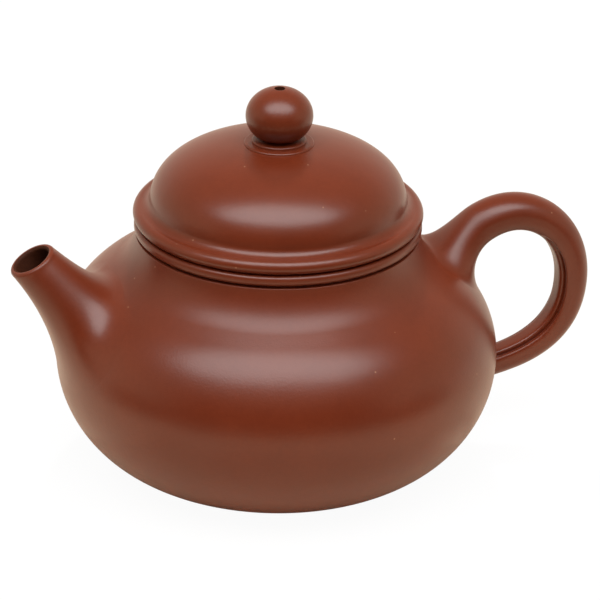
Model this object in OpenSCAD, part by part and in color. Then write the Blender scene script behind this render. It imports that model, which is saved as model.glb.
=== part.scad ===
// Round unglazed clay teapot with a loose domed lid, a short spout and an ear-shaped handle.
// The origin is the centre of the foot ring on the table, +Z is up, the spout points along -X
// and the handle along +X. All sizes are in millimetres.

/* [Body] */
// Largest outer diameter of the body
body_d = 90; // [88:0.5:94]
// Height of the widest part of the body above the table
belly_h = 23.7; // [22:0.1:26]
// Outer diameter of the foot edge that stands on the table
foot_d = 49.6; // [44:0.2:54]
// Radius of the round shoulder above the widest part
shoulder_r = 20; // [18:0.1:22]
// Height at which the body wall ends under the mouth collar
neck_h = 50.4; // [49.6:0.1:51.6]
// Outer diameter of the neck, where the body wall ends
neck_d = 57.4; // [56:0.2:59]
// Lean of the wall at the neck, in degrees from upright
neck_lean = 2; // [1:1:6]
// Angle by which the shoulder faces upwards where it runs into the neck, in degrees
neck_slope = 56.8; // [54:0.4:60]
// Thickness of the body wall
body_t = 2.6; // [2.2:0.1:3.2]

/* [Foot] */
// Width of the ring that touches the table
foot_ring_w = 2.4; // [1.8:0.1:3]
// Height of the base disc's underside above the table
foot_recess = 0.6; // [0.2:0.1:1]
// Thickness of the base disc
base_t = 2.4; // [2:0.1:3.2]

/* [Mouth] */
// Height of the collar around the mouth
collar_h = 2.1; // [1.8:0.05:2.7]
// Distance by which the collar stands out past the neck
collar_proud = 0.3; // [0.1:0.05:0.8]
// Width of the collar's flat ring, from its outside to the mouth
collar_w = 4.3; // [3.6:0.1:5]
// Radius that rounds the collar's outer edges
collar_round = 0.8; // [0.3:0.05:0.85]

/* [Spout] */
// Distance of the lip's centre past the widest part of the body
spout_reach = 5.3; // [4:0.1:7]
// Distance of the lip's centre below the top of the collar
spout_drop = 4.25; // [3.25:0.1:5.25]
// Outer diameter of the spout at the lip
spout_tip_d = 9.8; // [9.2:0.1:10.6]
// Thickness of the spout's wall at the lip
spout_tip_t = 1.3; // [1:0.05:1.6]
// Tilt of the lip's plane, in degrees from level
spout_lip_tilt = 29; // [22:1:36]
// Lean of the spout's axis at the lip, in degrees from upright
spout_lean = 41; // [37:0.5:44]
// Widening of the spout away from the lip, in degrees on each side
spout_taper = 4.8; // [4:0.2:6]
// Height of the root's centre above the widest part of the body
spout_root_up = 7.8; // [7:0.1:8.6]
// Height of the root where it runs out on the body
spout_root_h = 22; // [20.4:0.2:23.6]
// Width of the root where it runs out on the body
spout_root_w = 48; // [42:0.5:52]
// Length of the blend at the top of the root
spout_blend_top = 4.6; // [3:0.1:6]
// Length of the blend at the bottom of the root
spout_blend_low = 4; // [3:0.1:5]
// Length of the blend at the sides of the root
spout_blend_side = 11; // [9:0.5:13]
// Share by which the spout is stretched sideways near its root
spout_swell = 1.3; // [1:0.05:1.4]
// Length over which the spout runs straight to the lip
spout_run = 14; // [12.4:0.2:15.6]
// Diameter of the channel where it leaves the body
spout_bore_d = 9.6; // [9:0.1:9.8]
// Height of the channel's centre above the widest part of the body, where it leaves the body
spout_bore_up = 10.7; // [10.2:0.1:11]

/* [Strainer holes] */
// Diameter of each hole through the body wall behind the spout
strainer_d = 2; // [1.6:0.1:2.2]
// Number of holes in the ring around the middle hole
strainer_count = 6; // [5:1:7]
// Radius of the ring of holes
strainer_pitch_r = 3.2; // [3:0.1:3.4]

/* [Handle] */
// Distance of the handle's centre line past the widest part of the body
handle_reach = 18.5; // [16:0.1:21]
// Height of the handle's outermost point above the widest part of the body
handle_mid_up = 9.6; // [7:0.1:13]
// Height of the upper root's centre above the widest part of the body
handle_up_root = 16.7; // [15:0.1:19]
// Depth of the lower root's centre below the widest part of the body
handle_low_root = 9; // [7:0.1:11]
// Pull of the centre line out of the upper root
handle_up_pull = 19.8; // [16:0.2:23]
// Pull of the centre line above its outermost point
handle_top_pull = 14.4; // [10:0.2:18]
// Pull of the centre line below its outermost point
handle_low_pull = 12.2; // [9:0.2:17]
// Pull of the centre line out of the lower root
handle_root_pull = 11.6; // [8:0.2:16]
// Drop of the centre line into the lower root, in degrees from level
handle_low_dip = 7; // [0:1:20]
// Thickness of the handle near its upper root
handle_t_up = 7.6; // [7:0.1:9.2]
// Thickness of the handle near its lower root
handle_t_low = 5.4; // [5:0.1:7.2]
// Width of the handle across, beside its thickness
handle_extra_w = 1.5; // [0.5:0.1:2.5]
// Height of the upper root where it runs out on the body
handle_root_h = 9.2; // [8:0.2:12]
// Width of the upper root where it runs out on the body
handle_root_w = 15.2; // [12:0.2:18]
// Height of the lower root where it runs out on the body
handle_foot_h = 10.2; // [9:0.2:13]
// Width of the lower root where it runs out on the body
handle_foot_w = 10.5; // [8:0.2:13]
// Length of the blend at the upper root
handle_blend_up = 2.9; // [2:0.1:5]
// Length of the blend at the lower root
handle_blend_low = 2.4; // [1.5:0.1:4]
// Length over which the handle runs straight out of each blend
handle_blend_run = 3.5; // [2:0.1:5]

/* [Lid] */
// Distance by which the lid's rim stands out past the collar
lid_overhang = 0.2; // [0:0.05:0.6]
// Thickness of the lid's rim
rim_h = 3.1; // [2.6:0.05:3.5]
// Height of the round rim's underside above its seat
rim_relief = 0.25; // [0.1:0.05:0.5]
// Angle below level at which the rim's round edge turns under
rim_turn = 70; // [50:5:80]
// Width of the rim outside the dome
gallery_w = 3.3; // [2.9:0.1:4.5]
// Height of the dome above the rim
dome_h = 13.5; // [11:0.1:16]
// Fullness of the dome: 2 is an ellipse, more is squarer
dome_fullness = 2.35; // [2:0.05:2.8]
// Height of the hollow sweep at the dome's foot
dome_sweep_h = 1.65; // [1:0.05:1.8]
// Thickness of the dome's wall
lid_t = 2.6; // [2.2:0.1:3.2]
// Depth of the locating flange below its seat
flange_depth = 7; // [5:0.1:9]
// Thickness of the locating flange
flange_t = 1.8; // [1.4:0.1:2.4]
// Free play between the flange and the mouth, on each side
flange_clear = 0.3; // [0.2:0.05:0.5]
// Size of the bevel that leads the flange into the mouth
flange_bevel = 0.6; // [0.3:0.05:0.9]

/* [Knob] */
// Diameter of the knob's ball
knob_d = 13.5; // [12:0.1:15]
// Height of the knob above its seat
knob_h = 10.7; // [9.6:0.1:11.4]
// Height of the whole oval ball that the seat cuts into
knob_oval_h = 11.6; // [11.5:0.1:13]
// Diameter of the knob's neck where it meets the seat
knob_neck_d = 9.6; // [8.4:0.1:10.4]
// Diameter of the seat's lower step
seat_d = 14; // [13:0.1:16]
// Height of the seat's lower step
seat_h = 0.4; // [0.3:0.05:0.8]
// Diameter of the seat's upper step
seat_top_d = 10.9; // [10.6:0.1:12]
// Height of the seat's upper step
seat_top_h = 0.6; // [0.4:0.05:1]
// Radius that rounds the edges of the two steps
seat_round = 0.22; // [0.1:0.02:0.28]
// Diameter of the steam vent at the top of the knob
vent_d = 2; // [1.6:0.1:2.6]
// Diameter of the steam vent inside the lid
vent_low_d = 4.2; // [3:0.1:5]

/* [Joints] */
// Room for the slip between pieces that are luted together
slip = 0.08; // [0.05:0.01:0.15]
// Thickness of the luted edge around the roots of spout and handle
root_edge = 0.2; // [0.1:0.05:0.4]

/* [Hidden] */

clay = [0.49, 0.26, 0.18];
$fn = 96;
arc_step = 5;
hole_fn = 32;
section_n = 40;
loft_n = 14;
lip_n = 6;
root_n = 8;
seat_n = 8;
dome_n = 24;
knob_n = 28;

// Body profile: one circle below the belly, a shoulder circle above it, a straight slope
// and a hollow neck circle
body_r = body_d / 2;
foot_r = foot_d / 2;
base_r = foot_r - foot_ring_w;
neck_r = neck_d / 2;
low_in = body_r - foot_r;
low_r = (low_in * low_in + belly_h * belly_h) / (2 * low_in);
low_c = [body_r - low_r, belly_h];
shoulder_c = [body_r - shoulder_r, belly_h];
slope_n = [cos(neck_slope), sin(neck_slope)];
neck_n = [cos(neck_lean), sin(neck_lean)];
neck_p = [neck_r, neck_h];
hollow_r = (slope_n * (neck_p - shoulder_c) - shoulder_r) / (1 - slope_n * neck_n);
hollow_c = neck_p + hollow_r * neck_n;
slope_low = shoulder_c + shoulder_r * slope_n;
slope_top = hollow_c - hollow_r * slope_n;
foot_a = atan2(-belly_h, foot_r - low_c.x);

// Mouth and lid heights and radii, from the neck upwards
collar_r = neck_r + collar_proud;
mouth_r = collar_r - collar_w;
seat_z = neck_h + collar_h;
lid_r = collar_r + lid_overhang;
bead_r = (rim_h - rim_relief) / 2;
bead_c = [lid_r - bead_r, seat_z + rim_h - bead_r];
flange_r = mouth_r - flange_clear;
flange_in_r = flange_r - flange_t;
rim_z = seat_z + rim_h;
dome_r = lid_r - gallery_w;
seat_r = seat_d / 2;
crown_z = rim_z + dome_h * pow(1 - pow(seat_r / dome_r, dome_fullness), 1 / dome_fullness);
knob_z = crown_z + seat_h + seat_top_h;
dome_in_r = dome_r - lid_t;
dome_in_h = dome_h - lid_t;
vent_low_z = rim_z + dome_in_h;
vent_top_z = knob_z + knob_h;

// Spout and handle places
edge_lift = slip + root_edge;
spout_tip = [-(body_r + spout_reach), 0, seat_z - spout_drop];
spout_root_z = belly_h + spout_root_up;
spout_bore_z = belly_h + spout_bore_up;
spout_axis = [-sin(spout_lean), 0, cos(spout_lean)];
lip_normal = [-sin(spout_lip_tilt), 0, cos(spout_lip_tilt)];
lip_up = [cos(spout_lip_tilt), 0, sin(spout_lip_tilt)];
spout_tip_r = spout_tip_d / 2;
spout_tip_bore_r = spout_tip_r - spout_tip_t;
spout_bore_r = spout_bore_d / 2;
handle_out = [body_r + handle_reach, 0, belly_h + handle_mid_up];
handle_up_z = belly_h + handle_up_root;
handle_low_z = belly_h - handle_low_root;
across = [0, 1, 0];
// Shares of the centre line at which the handle's even part begins and ends
handle_up_start = 0.2;
handle_low_end = 0.8;
// Power that flattens the handle's inner face: 1 is round, less is flatter
handle_squareness = 0.55;

// Points along an arc about c, from angle a0 to angle a1
function arc(c, r, a0, a1) =
    let (n = max(2, ceil(abs(a1 - a0) / arc_step)))
    [for (i = [0:n]) c + r * [cos(a0 + (a1 - a0) * i / n), sin(a0 + (a1 - a0) * i / n)]];

// The body's outer or inner side from foot to neck; inset is the depth below the outer side
function body_side(inset) = concat(
    arc(low_c, low_r - inset, foot_a, 0),
    arc(shoulder_c, shoulder_r - inset, 0, neck_slope),
    arc(hollow_c, hollow_r + inset, neck_slope + 180, neck_lean + 180));

// Radius of the body at height z, and the outward slope of its surface there
function body_radius(z) =
    z <= belly_h ? low_c.x + sqrt(low_r * low_r - pow(z - belly_h, 2)) :
    z <= slope_low.y ? shoulder_c.x + sqrt(shoulder_r * shoulder_r - pow(z - belly_h, 2)) :
    z <= slope_top.y ? slope_low.x - (z - slope_low.y) * tan(neck_slope) :
    hollow_c.x - sqrt(hollow_r * hollow_r - pow(z - hollow_c.y, 2));
function body_slope(z) =
    let (r = body_radius(z))
    z <= belly_h ? ([r, z] - low_c) / low_r :
    z <= slope_low.y ? ([r, z] - shoulder_c) / shoulder_r :
    z <= slope_top.y ? slope_n :
    (hollow_c - [r, z]) / hollow_r;

// Normal of the body at width y and height z, on the side that faces along side * X,
// and a point at a lift above its surface there
function body_normal(y, z, side) =
    let (r = body_radius(z), s = body_slope(z))
    [side * s.x * sqrt(r * r - y * y) / r, s.x * y / r, s.y];
function body_point(y, z, side, lift) =
    [side * sqrt(pow(body_radius(z), 2) - y * y), y, z] + lift * body_normal(y, z, side);

function unit(v) = v / norm(v);
function reverse(list) = [for (i = [len(list) - 1:-1:0]) list[i]];
function bezier(p, t) =
    pow(1 - t, 3) * p[0] + 3 * pow(1 - t, 2) * t * p[1] + 3 * (1 - t) * t * t * p[2] + pow(t, 3) * p[3];
function bezier_run(p, t) =
    unit(pow(1 - t, 2) * (p[1] - p[0]) + 2 * (1 - t) * t * (p[2] - p[1]) + t * t * (p[3] - p[2]));

// An oval at a lift above the body: centre height z, full width w and height h, shrunk by k
function root_ring(z, w, h, side, lift, k = 1) =
    [for (i = [0:section_n - 1]) let (a = 360 * i / section_n)
        body_point(k * w / 2 * cos(a), z + k * h / 2 * sin(a), side, lift)];

// Where a blend's curve leaves the oval: along the body's skin, towards the oval's centre
function root_lead(z, w, h, side, low, top, beside) =
    [for (i = [0:section_n - 1])
        let (a = 360 * i / section_n,
             y = w / 2 * cos(a),
             dz = h / 2 * sin(a),
             p = body_point(y, z + dz, side, edge_lift),
             n = body_normal(y, z + dz, side),
             v = body_point(0, z, side, edge_lift) - p,
             upright = (low + top) / 2 + (top - low) / 2 * sin(a),
             length = beside + (upright - beside) * sin(a) * sin(a))
        p + length * unit(v - (v * n) * n)];

// Rings of cubic curves between four rings of guide points, leaving out the first and last if asked
function blend_rings(g, n, first, last) =
    [for (j = [first:n - last]) let (t = j / n)
        [for (i = [0:section_n - 1]) bezier([g[0][i], g[1][i], g[2][i], g[3][i]], t)]];

// A skin over rings of equal size; a closed skin runs on from the last ring to the first,
// an open one gets an end point at each end
module skin(rings, ends = []) {
    n = section_n;
    m = len(rings);
    spans = len(ends) == 0 ? m : m - 1;
    points = concat([for (r = rings) each r], ends);
    sides = [for (j = [0:spans - 1], i = [0:n - 1])
        let (a = j * n + i,
             b = j * n + (i + 1) % n,
             c = ((j + 1) % m) * n + (i + 1) % n,
             d = ((j + 1) % m) * n + i)
        each [[a, b, c], [a, c, d]]];
    caps = len(ends) == 0 ? [] : [for (i = [0:n - 1])
        each [[m * n, (i + 1) % n, i], [m * n + 1, (m - 1) * n + i, (m - 1) * n + (i + 1) % n]]];
    polyhedron(points, concat(sides, caps), convexity = 8);
}

// Base disc, set inside the foot ring
module base_disc() {
    color(clay)
        translate([0, 0, foot_recess])
            cylinder(r = base_r - slip, h = base_t);
}

// Body wall from foot ring to neck, with strainer holes behind the spout
module body_wall() {
    inner = [for (p = body_side(body_t)) if (p.x > base_r || p.y > belly_h) p];
    inner_foot = [base_r, low_c.y - sqrt(pow(low_r - body_t, 2) - pow(base_r - low_c.x, 2))];
    neck_in = inner[len(inner) - 1];
    color(clay)
        difference() {
            rotate_extrude()
                polygon(concat(
                    body_side(0),
                    [[neck_in.x, neck_h]],
                    [for (i = [len(inner) - 1:-1:0]) inner[i]],
                    [inner_foot, [base_r, 0]]));
            strainer_holes();
        }
}

// Round drills along X through the wall that faces the spout
module strainer_holes() {
    places = concat([[0, 0]], [for (i = [0:strainer_count - 1]) let (a = 360 * i / strainer_count)
        strainer_pitch_r * [sin(a), cos(a)]]);
    for (p = places)
        translate([-body_r, p.x, spout_bore_z + p.y])
            rotate([0, 90, 0])
                cylinder(d = strainer_d, h = body_r - mouth_r, $fn = hole_fn);
}

// Collar around the mouth, on the end of the body wall
module mouth_collar() {
    low = [collar_r - collar_round, neck_h + collar_round];
    top = [collar_r - collar_round, seat_z - collar_round];
    color(clay)
        rotate_extrude()
            polygon(concat(
                [[mouth_r, neck_h]],
                arc(low, collar_round, -90, 0),
                arc(top, collar_round, 0, 90),
                [[mouth_r, seat_z]]));
}

// Guide rings of the spout: from an oval on the body to a circle at the lip
function lip_ring(r, back, taper, swell = 1) =
    [for (i = [0:section_n - 1]) let (a = 360 * i / section_n)
        spout_tip - back * spout_axis
            + (r + back * tan(taper)) * (swell * cos(a) * across + sin(a) * lip_up)];

// Spout with its channel, luted over the strainer holes
module spout() {
    outside = [
        root_ring(spout_root_z, spout_root_w, spout_root_h, -1, edge_lift),
        root_lead(spout_root_z, spout_root_w, spout_root_h, -1,
                  spout_blend_low, spout_blend_top, spout_blend_side),
        lip_ring(spout_tip_r, spout_run, spout_taper, spout_swell),
        lip_ring(spout_tip_r, 0, 0)];
    bore_root = root_ring(spout_bore_z, spout_bore_d, spout_bore_d, -1, slip);
    inside = [
        lip_ring(spout_tip_bore_r, 0, 0),
        lip_ring(spout_tip_bore_r, spout_run, spout_taper / 2),
        [for (p = bore_root) p + spout_bore_r * spout_axis],
        bore_root];
    lip_mid_r = spout_tip_r - spout_tip_t / 2;
    lip = [for (k = [1:lip_n - 1]) let (b = 180 * k / lip_n)
        [for (p = lip_ring(lip_mid_r + spout_tip_t / 2 * cos(b), 0, 0))
            p + spout_tip_t / 2 * sin(b) * lip_normal]];
    foot = [for (k = [1:seat_n]) let (u = k / seat_n)
        root_ring(spout_bore_z + u * (spout_root_z - spout_bore_z),
                  spout_bore_d + u * (spout_root_w - spout_bore_d),
                  spout_bore_d + u * (spout_root_h - spout_bore_d), -1, slip)];
    color(clay)
        skin(concat(
            blend_rings(outside, loft_n, 0, 0),
            lip,
            blend_rings(inside, loft_n, 0, 0),
            foot));
}

// Centre line of the handle: out of the shoulder, over the top to its outermost point, back to the belly
function handle_up_line() =
    let (p = body_point(0, handle_up_z, 1, slip), n = body_normal(0, handle_up_z, 1))
    [p, p + handle_up_pull * n, handle_out + [0, 0, handle_top_pull], handle_out];
function handle_low_line() =
    let (p = body_point(0, handle_low_z, 1, slip))
    [handle_out, handle_out - [0, 0, handle_low_pull],
     p + handle_root_pull * [cos(handle_low_dip), 0, sin(handle_low_dip)], p];

// One section of the handle at share s of its length: round outside, flatter towards the fingers
function squared(v) = sign(v) * pow(abs(v), handle_squareness);
function handle_section(p, run, s) =
    let (t = handle_t_up + (handle_t_low - handle_t_up) * s,
         w = t + handle_extra_w,
         out = cross(run, across))
    [for (i = [0:section_n - 1])
        let (a = 360 * i / section_n,
             flat = sin(a) < 0,
             y = flat ? squared(cos(a)) : cos(a),
             o = flat ? squared(sin(a)) : sin(a))
        p + w / 2 * y * across + t / 2 * o * out];

// Rings from the handle's root on the body up to a section, and the rings of the root's seat
function handle_root(z, w, h, blend, section, run) =
    blend_rings([root_ring(z, w, h, 1, edge_lift),
                 root_lead(z, w, h, 1, blend, blend, blend),
                 [for (p = section) p - handle_blend_run * run],
                 section], root_n, 0, 1);
function handle_seat(z, w, h) = [for (k = [1:seat_n]) root_ring(z, w, h, 1, slip, k / seat_n)];

// Ear-shaped handle, luted to the shoulder and to the belly
module handle() {
    up_line = handle_up_line();
    low_line = handle_low_line();
    up_rings = [for (j = [0:loft_n]) let (t = handle_up_start + (1 - handle_up_start) * j / loft_n)
        handle_section(bezier(up_line, t), bezier_run(up_line, t), t / 2)];
    low_rings = [for (j = [1:loft_n]) let (t = handle_low_end * j / loft_n)
        handle_section(bezier(low_line, t), bezier_run(low_line, t), 0.5 + t / 2)];
    up_root = handle_root(handle_up_z, handle_root_w, handle_root_h, handle_blend_up,
                          up_rings[0], bezier_run(up_line, handle_up_start));
    low_root = handle_root(handle_low_z, handle_foot_w, -handle_foot_h, handle_blend_low,
                           low_rings[loft_n - 1], -bezier_run(low_line, handle_low_end));
    up_seat = handle_seat(handle_up_z, handle_root_w, handle_root_h);
    low_seat = handle_seat(handle_low_z, handle_foot_w, -handle_foot_h);
    color(clay)
        skin(concat(low_seat, low_root, reverse(low_rings), reverse(up_rings), reverse(up_root), reverse(up_seat)),
             [body_point(0, handle_low_z, 1, slip), body_point(0, handle_up_z, 1, slip)]);
}

// Flat ring of the lid with a round outer edge, resting on the collar
module lid_rim() {
    color(clay)
        rotate_extrude()
            polygon(concat(
                [[flange_in_r, seat_z], [bead_c.x - bead_r, seat_z]],
                arc(bead_c, bead_r, -rim_turn, 90),
                [[flange_in_r, rim_z]]));
}

// Superellipse quarter of half width a and height h above the rim; k is 0 at the foot and 1 at the top
function dome_point(a, h, k) =
    [a * pow(cos(90 * k), 2 / dome_fullness), rim_z + h * pow(sin(90 * k), 2 / dome_fullness)];
function dome_share(h, height) = asin(pow(height / h, dome_fullness / 2)) / 90;

// Radius at height z of the steam vent, which widens from the knob's top to the inside of the lid
function vent_radius(z) =
    (vent_d + (vent_low_d - vent_d) * (vent_top_z - z) / (vent_top_z - vent_low_z)) / 2;

// Hollow dome of the lid, with a hollow sweep at its foot and a flat crown under the knob's seat
module lid_dome() {
    sweep_k = dome_share(dome_h, dome_sweep_h);
    sweep_p = dome_point(dome_r, dome_h, sweep_k);
    sweep_n = unit([pow(sweep_p.x / dome_r, dome_fullness - 1) / dome_r,
                    pow(dome_sweep_h / dome_h, dome_fullness - 1) / dome_h]);
    sweep_r = dome_sweep_h / (1 - sweep_n.y);
    crown_k = dome_share(dome_h, crown_z - rim_z);
    vent_rise = pow(1 - pow(vent_low_d / 2 / dome_in_r, dome_fullness), 1 / dome_fullness);
    vent_k = dome_share(dome_in_h, dome_in_h * vent_rise);
    color(clay)
        rotate_extrude()
            polygon(concat(
                arc(sweep_p + sweep_r * sweep_n, sweep_r, 270, 180 + atan2(sweep_n.y, sweep_n.x)),
                [for (j = [1:dome_n]) dome_point(dome_r, dome_h, sweep_k + (crown_k - sweep_k) * j / dome_n)],
                [[vent_radius(crown_z), crown_z]],
                [for (j = [dome_n:-1:0]) dome_point(dome_in_r, dome_in_h, vent_k * j / dome_n)]));
}

// Locating flange that hangs from the rim into the mouth
module lid_flange() {
    color(clay)
        rotate_extrude()
            polygon([
                [flange_in_r, seat_z],
                [flange_in_r, seat_z - flange_depth],
                [flange_r - flange_bevel, seat_z - flange_depth],
                [flange_r, seat_z - flange_depth + flange_bevel],
                [flange_r, seat_z]]);
}

// Two-step seat of the knob on the flat crown of the dome
module knob_seat() {
    low_z = crown_z + seat_h;
    top_r = seat_top_d / 2;
    color(clay)
        rotate_extrude()
            polygon(concat(
                [[vent_radius(crown_z), crown_z], [seat_r, crown_z]],
                arc([seat_r - seat_round, low_z - seat_round], seat_round, 0, 90),
                [[top_r, low_z]],
                arc([top_r - seat_round, knob_z - seat_round], seat_round, 0, 90),
                [[vent_radius(knob_z), knob_z]]));
}

// Oval knob with the steam vent
module knob() {
    a = knob_d / 2;
    b = knob_oval_h / 2;
    mid = knob_z + knob_h - b;
    neck_k = -acos(knob_neck_d / knob_d);
    vent_k = acos(vent_d / knob_d);
    color(clay)
        rotate_extrude()
            polygon(concat(
                [[vent_radius(knob_z), knob_z], [knob_neck_d / 2, knob_z]],
                [for (j = [0:knob_n]) let (t = neck_k + (vent_k - neck_k) * j / knob_n)
                    [a * cos(t), mid + b * sin(t)]]));
}

base_disc();
body_wall();
mouth_collar();
spout();
handle();
lid_rim();
lid_dome();
lid_flange();
knob_seat();
knob();
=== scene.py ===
"""Looks of a round unglazed clay teapot with a loose lid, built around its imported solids.

Sizes are in millimetres, and angles in degrees, until a mesh is made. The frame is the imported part's:
the origin is the centre of the foot ring, +Z is up, the spout points along -X, the handle along +X.
"""

from __future__ import annotations

import logging
import math
from collections.abc import Callable
from dataclasses import dataclass, field
from enum import Enum

import bpy
from mathutils import Matrix, Vector

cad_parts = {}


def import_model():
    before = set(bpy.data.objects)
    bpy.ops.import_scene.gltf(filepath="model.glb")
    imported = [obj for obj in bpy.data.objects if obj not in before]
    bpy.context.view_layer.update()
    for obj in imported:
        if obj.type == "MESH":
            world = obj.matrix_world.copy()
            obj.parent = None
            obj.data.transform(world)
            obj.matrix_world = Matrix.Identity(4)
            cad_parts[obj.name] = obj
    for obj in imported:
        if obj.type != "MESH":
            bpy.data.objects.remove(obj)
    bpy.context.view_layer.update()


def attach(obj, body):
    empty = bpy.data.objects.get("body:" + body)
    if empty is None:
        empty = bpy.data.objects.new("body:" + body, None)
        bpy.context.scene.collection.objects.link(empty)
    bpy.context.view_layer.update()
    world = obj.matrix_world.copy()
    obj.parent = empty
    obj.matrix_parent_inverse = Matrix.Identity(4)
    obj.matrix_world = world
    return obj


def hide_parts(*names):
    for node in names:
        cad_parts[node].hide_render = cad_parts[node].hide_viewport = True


LOG = logging.getLogger("teapot")

MM = 0.001
ARC_STEP = 2.0
WELD = 2e-6
TURNED_SHARP = 32.0
LOFTED_SHARP = 50.0
HOLE_SIDES = 40
INWARD = 0.1
DOWNWARD = 0.5

Point = tuple[float, float]
Span = tuple[float, float]
Colour = tuple[float, float, float, float]
Ring = list[Vector]

WHITE: Colour = (1.0, 1.0, 1.0, 1.0)
BLACK: Colour = (0.0, 0.0, 0.0, 1.0)


class Side(Enum):
    """Side of the body that a luted-on piece grows from, along X."""

    SPOUT = -1.0
    HANDLE = 1.0


class Skin(Enum):
    """Finish of a face, by its place in the piece's material slots."""

    BURNISHED = 0
    # The second finish is unburnished, and its dark colour is painted shade.
    RAW = 1


class Body(Enum):
    """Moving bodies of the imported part."""

    POT = "pot"
    LID = "lid"


def arc(centre: Point, radius: float, start: float, end: float, step: float = ARC_STEP) -> list[Point]:
    """Points along an arc, both ends included.

    Args:
        centre: Centre of the arc, as radius and height.
        radius: Radius of the arc.
        start: Angle of the first point.
        end: Angle of the last point.
        step: Largest angle between two points.

    Returns:
        The points, as radius and height.
    """
    count = max(2, math.ceil(abs(end - start) / step))
    angles = [math.radians(start + (end - start) * i / count) for i in range(count + 1)]
    return [(centre[0] + radius * math.cos(a), centre[1] + radius * math.sin(a)) for a in angles]


def metres(span: Span) -> Span:
    """A range of lengths in metres."""
    return (span[0] * MM, span[1] * MM)


def bezier(guides: list[Vector], t: float) -> Vector:
    """Point of a cubic curve.

    Args:
        guides: The curve's four guide points.
        t: Share of the curve, from 0 to 1.

    Returns:
        The point.
    """
    u = 1.0 - t
    a, b, c, d = guides
    return u**3 * a + 3 * u * u * t * b + 3 * u * t * t * c + t**3 * d


def bezier_run(guides: list[Vector], t: float) -> Vector:
    """Direction of a cubic curve.

    Args:
        guides: The curve's four guide points.
        t: Share of the curve, from 0 to 1.

    Returns:
        The direction, of length 1.
    """
    u = 1.0 - t
    a, b, c, d = guides
    return (u * u * (b - a) + 2 * u * t * (c - b) + t * t * (d - c)).normalized()


def blend_rings(guides: list[Ring], count: int) -> list[Ring]:
    """Rings of cubic curves between four rings of guide points.

    Args:
        guides: The four guide rings, all with the same number of points.
        count: Number of spans from the first ring to the last.

    Returns:
        The rings, with the first and the last guide ring among them.
    """
    rows = list(zip(*guides))
    return [[bezier(list(row), j / count) for row in rows] for j in range(count + 1)]


class Bench:
    """The hand operations that every clay piece is made with."""

    @staticmethod
    def clear() -> None:
        """Leave edit mode and deselect everything."""
        if bpy.context.mode != "OBJECT":
            bpy.ops.object.mode_set(mode="OBJECT")
        bpy.ops.object.select_all(action="DESELECT")

    @staticmethod
    def close(piece: bpy.types.Object, sharp_angle: float) -> None:
        """Weld a piece's seams and poles, turn its faces outwards and smooth it.

        Args:
            piece: The piece, in object mode and active.
            sharp_angle: Angle above which an edge stays sharp.
        """
        bpy.ops.object.mode_set(mode="EDIT")
        bpy.ops.mesh.select_all(action="SELECT")
        bpy.ops.mesh.remove_doubles(threshold=WELD)
        bpy.ops.mesh.normals_make_consistent(inside=False)
        bpy.ops.mesh.select_all(action="DESELECT")
        bpy.ops.object.mode_set(mode="OBJECT")
        bpy.ops.object.shade_smooth_by_angle(angle=math.radians(sharp_angle))

    @staticmethod
    def turn(name: str, outline: list[Point], steps: int = 240) -> bpy.types.Object:
        """Turn a closed outline about the Z axis.

        Args:
            name: Name of the new piece.
            outline: Corners of the outline, as radius and height.
            steps: Number of steps around.

        Returns:
            The closed solid.
        """
        Bench.clear()
        bpy.ops.mesh.primitive_circle_add(vertices=len(outline), radius=MM)
        piece = bpy.context.object
        piece.name = name
        piece.data.name = name
        for vertex, (radius, height) in zip(piece.data.vertices, outline):
            vertex.co = (radius * MM, 0.0, height * MM)
        bpy.ops.object.mode_set(mode="EDIT")
        bpy.ops.mesh.select_all(action="SELECT")
        bpy.ops.mesh.spin(steps=steps, angle=2 * math.pi, center=(0, 0, 0), axis=(0, 0, 1))
        bpy.ops.object.mode_set(mode="OBJECT")
        Bench.close(piece, TURNED_SHARP)
        return piece

    @staticmethod
    def skin(name: str, rings: list[Ring], looped: bool) -> bpy.types.Object:
        """Lay a skin over rings of equal size.

        Args:
            name: Name of the new piece.
            rings: The rings, in order along the piece.
            looped: Whether the last ring runs on to the first. If not, both end rings are points.

        Returns:
            The closed solid.
        """
        Bench.clear()
        spans = len(rings) if looped else len(rings) - 1
        around = len(rings[0])
        bpy.ops.mesh.primitive_grid_add(x_subdivisions=spans, y_subdivisions=around, size=2.0)
        piece = bpy.context.object
        piece.name = name
        piece.data.name = name
        for vertex in piece.data.vertices:
            along = round((vertex.co.x + 1.0) / 2.0 * spans)
            turn = round((vertex.co.y + 1.0) / 2.0 * around)
            vertex.co = rings[along % len(rings)][turn % around] * MM
        Bench.close(piece, LOFTED_SHARP)
        return piece

    @staticmethod
    def drill(piece: bpy.types.Object, places: list[Vector], diameter: float, depth: float) -> None:
        """Drill round holes along X through a piece.

        Args:
            piece: The piece to drill.
            places: Middles of the holes.
            diameter: Diameter of each hole.
            depth: Length of each hole.
        """
        Bench.clear()
        for place in places:
            bpy.ops.mesh.primitive_cylinder_add(
                vertices=HOLE_SIDES,
                radius=diameter / 2 * MM,
                depth=depth * MM,
                location=place * MM,
                rotation=(0.0, math.pi / 2, 0.0),
            )
            if place is places[0]:
                cutter = bpy.context.object
            else:
                cutter.select_set(True)
                bpy.context.view_layer.objects.active = cutter
                bpy.ops.object.join()
        Bench.clear()
        bpy.context.view_layer.objects.active = piece
        piece.select_set(True)
        cut = piece.modifiers.new("holes", "BOOLEAN")
        cut.operation = "DIFFERENCE"
        cut.solver = "EXACT"
        cut.object = cutter
        bpy.ops.object.modifier_apply(modifier=cut.name)
        bpy.data.objects.remove(cutter)


@dataclass(frozen=True)
class Noise:
    """One layer of noise: its scale per metre, the number of finer layers in it and their strength."""

    scale: float
    detail: float
    rough: float = 0.5


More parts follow.
